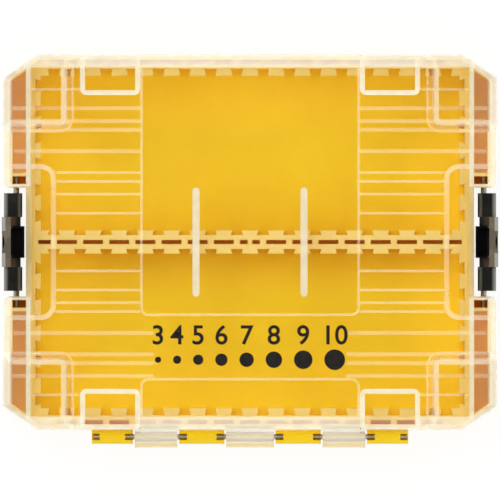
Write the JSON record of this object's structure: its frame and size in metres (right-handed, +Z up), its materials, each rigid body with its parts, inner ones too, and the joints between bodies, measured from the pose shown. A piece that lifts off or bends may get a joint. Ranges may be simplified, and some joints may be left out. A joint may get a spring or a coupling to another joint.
{
  "type": "drill bit case",
  "caption": "Tough flat case with a deep base, toothed bit rails, a clear ribbed lid on a rod hinge and a draw latch in each short side.",
  "frame": {"origin": "middle of the case body on its underside", "axes": "+X along the case's width, +Y towards the front away from the hinge, +Z up through the lid"},
  "size_m": [0.2406, 0.1913, 0.055],
  "materials": {
    "base_yellow": "moulded satin yellow",
    "clear_lid": "clear moulded polycarbonate",
    "latch_black": "fine matte black",
    "steel": "drawn steel rod"
  },
  "bodies": {
    "base": {"base_tub": "base_yellow", "centre_rail": "base_yellow", "front_rail": "base_yellow", "back_rail": "base_yellow", "side_rail_left": "base_yellow", "side_rail_right": "base_yellow", "hinge_rod": "steel", "latch_pin_left_front": "steel", "latch_pin_left_back": "steel", "latch_pin_right_front": "steel", "latch_pin_right_back": "steel"},
    "lid": {"lid_shell": "clear_lid", "lid_bar_left": "clear_lid", "lid_bar_right": "clear_lid"},
    "left_latch": {"latch_left": "latch_black"},
    "right_latch": {"latch_right": "latch_black"}
  },
  "joints": [
    {"name": "lid_hinge", "type": "hinge", "parent": "base", "child": "lid", "pos_m": [0, -0.0946, 0.03], "axis": [1, 0, 0], "range_deg": [0, 180]},
    {"name": "left_latch_pivot", "type": "hinge", "parent": "base", "child": "left_latch", "pos_m": [-0.1136, 0, 0.02], "axis": [0, -1, 0], "range_deg": [0, 105]},
    {"name": "right_latch_pivot", "type": "hinge", "parent": "base", "child": "right_latch", "pos_m": [0.1136, 0, 0.02], "axis": [0, 1, 0], "range_deg": [0, 105]}
  ]
}
